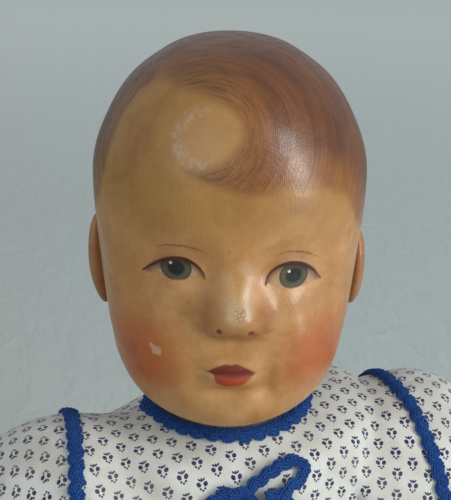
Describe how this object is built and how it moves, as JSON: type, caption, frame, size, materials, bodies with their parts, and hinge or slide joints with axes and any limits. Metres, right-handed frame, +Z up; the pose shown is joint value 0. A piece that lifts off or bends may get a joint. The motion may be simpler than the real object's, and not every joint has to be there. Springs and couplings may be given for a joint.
{
  "type": "cloth doll",
  "caption": "Seated cloth baby doll: painted head that turns, stuffed body with disc-jointed arms and legs, printed cotton smock and bloomers with crocheted edging.",
  "frame": {"origin": "middle of the flat seat face, on the surface that the doll sits on", "axes": "+Z up, the doll faces -Y, its left side is at +X"},
  "size_m": [0.2956, 0.2471, 0.3151],
  "materials": {
    "painted_cloth": "oil paint and varnish over moulded cloth, satin, lightly worn",
    "muslin": "plain flesh-coloured cotton muslin",
    "wool_stuffing": "packed wool and kapok",
    "printed_cotton": "white cotton with a small navy calico print",
    "blue_crochet": "crocheted cotton yarn",
    "plywood": "raw pressed board",
    "steel": "bright wire",
    "shirt_button": "pearly"
  },
  "bodies": {
    "torso": {"torso_cover": "muslin", "torso_stuffing": "wool_stuffing", "neck": "muslin", "neck_disc": "plywood", "neck_pin": "steel", "bloomers_seat": "printed_cotton", "dress_body": "printed_cotton", "neck_trim": "blue_crochet", "left_armhole_trim": "blue_crochet", "right_armhole_trim": "blue_crochet", "hem_trim": "blue_crochet", "neck_bow": "blue_crochet", "back_button_1": "shirt_button", "back_button_2": "shirt_button", "back_button_3": "shirt_button", "left_shoulder_body_disc": "plywood", "left_shoulder_pin": "steel", "left_hip_body_disc": "plywood", "left_hip_pin": "steel", "right_shoulder_body_disc": "plywood", "right_shoulder_pin": "steel", "right_hip_body_disc": "plywood", "right_hip_pin": "steel"},
    "head": {"head_shell": "painted_cloth", "head_stuffing": "wool_stuffing", "head_neck_disc": "plywood"},
    "left_arm": {"left_arm_cover": "muslin", "left_arm_stuffing": "wool_stuffing", "left_thumb": "muslin", "left_shoulder_arm_disc": "plywood", "left_sleeve": "printed_cotton", "left_cuff_trim": "blue_crochet"},
    "right_arm": {"right_arm_cover": "muslin", "right_arm_stuffing": "wool_stuffing", "right_thumb": "muslin", "right_shoulder_arm_disc": "plywood", "right_sleeve": "printed_cotton", "right_cuff_trim": "blue_crochet"},
    "left_leg": {"left_leg_cover": "muslin", "left_leg_stuffing": "wool_stuffing", "left_hip_leg_disc": "plywood", "left_bloomers_leg": "printed_cotton", "left_leg_trim": "blue_crochet"},
    "right_leg": {"right_leg_cover": "muslin", "right_leg_stuffing": "wool_stuffing", "right_hip_leg_disc": "plywood", "right_bloomers_leg": "printed_cotton", "right_leg_trim": "blue_crochet"}
  },
  "joints": [
    {"name": "head_turn", "type": "hinge", "parent": "torso", "child": "head", "pos_m": [0, 0, 0.165], "axis": [0, 0, 1], "range_deg": [-42, 78]},
    {"name": "left_shoulder", "type": "hinge", "parent": "torso", "child": "left_arm", "pos_m": [0.0482, 0, 0.132], "axis": [-1, 0, 0], "range_deg": [-45, 150]},
    {"name": "right_shoulder", "type": "hinge", "parent": "torso", "child": "right_arm", "pos_m": [-0.0482, 0, 0.132], "axis": [-1, 0, 0], "range_deg": [-45, 150]},
    {"name": "left_hip", "type": "hinge", "parent": "torso", "child": "left_leg", "pos_m": [0.0357, 0.004, 0.0295], "axis": [1, 0, 0], "range_deg": [-8, 90]},
    {"name": "right_hip", "type": "hinge", "parent": "torso", "child": "right_leg", "pos_m": [-0.0357, 0.004, 0.0295], "axis": [1, 0, 0], "range_deg": [-8, 90]}
  ]
}
